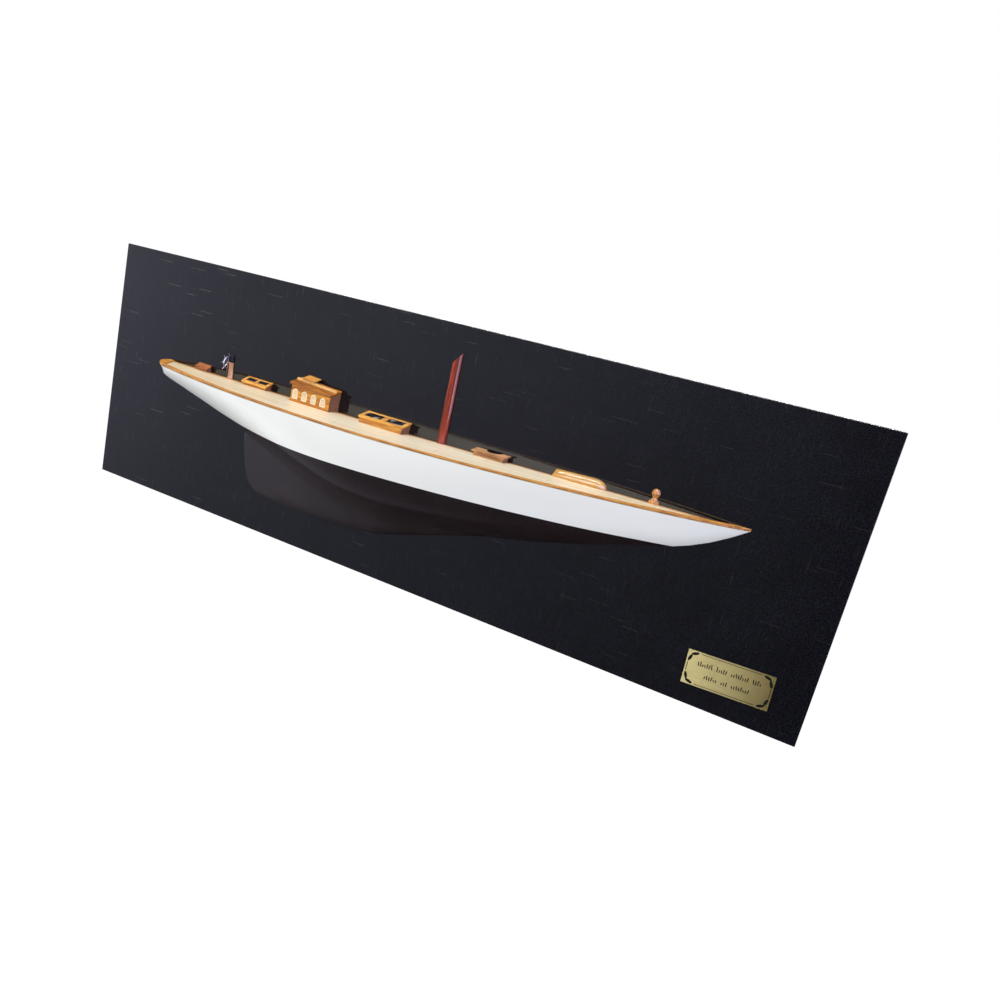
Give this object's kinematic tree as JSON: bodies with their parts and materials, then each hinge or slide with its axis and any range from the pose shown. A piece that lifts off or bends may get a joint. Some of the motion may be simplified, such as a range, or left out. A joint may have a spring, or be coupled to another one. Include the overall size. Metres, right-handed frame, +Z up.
{
  "type": "ship half hull model",
  "caption": "Half hull of a sailing yacht with deck fittings and a mast stub, fixed to a glossy black wall board with an engraved plate.",
  "frame": {"origin": "middle of the board's flat back face, where it lies on the wall", "axes": "+X along the board towards the hull's bow, +Y out of the board's back into the wall, +Z up; the hull stands out towards -Y"},
  "size_m": [0.914, 0.1062, 0.3],
  "materials": {
    "lacquer": "black piano lacquer on wood, mirror gloss, very faint streaks",
    "hull_paint": "carved wood, gloss paint: white above the waterline, near-black brown below",
    "deck_maple": "thin pale deck planking with fine dark seams, satin varnish",
    "rail_wood": "reddish-brown wood strip, satin varnish",
    "honey_wood": "honey-coloured wood, satin varnish",
    "cream_wood": "pale cream wood, satin varnish",
    "pale_wood": "pale pinkish wood, satin varnish",
    "mahogany": "deep red mahogany, gloss varnish",
    "dark_paint": "turned wood, gloss near-black paint",
    "dark_glass": "opaque near-black glossy panes",
    "steel": "polished small casting",
    "brass": "satin brass sheet, engraved lines filled dark"
  },
  "bodies": {
    "root": {"backboard": "lacquer", "half_hull": "hull_paint", "deck": "deck_maple", "covering_board": "rail_wood", "taffrail": "rail_wood", "stern_box": "honey_wood", "stern_box_lid": "honey_wood", "steering_post": "pale_wood", "steering_cap": "dark_paint", "steering_wheel": "steel", "aft_skylight_coaming": "honey_wood", "aft_skylight_frame": "honey_wood", "aft_skylight_pane_1": "dark_glass", "aft_skylight_pane_2": "dark_glass", "main_skylight_coaming": "honey_wood", "main_skylight_frame": "honey_wood", "main_skylight_pane_1": "dark_glass", "main_skylight_pane_2": "dark_glass", "house_walls": "honey_wood", "house_roof": "honey_wood", "house_roof_rail": "cream_wood", "sliding_hatch": "honey_wood", "sliding_hatch_plate": "honey_wood", "house_window_1": "cream_wood", "house_window_2": "cream_wood", "house_window_3": "cream_wood", "house_window_4": "cream_wood", "mast_stub": "mahogany", "fore_hatch_coaming": "honey_wood", "fore_hatch_lid": "honey_wood", "deck_dome": "honey_wood", "bitt": "pale_wood", "plaque": "brass"}
  },
  "joints": []
}
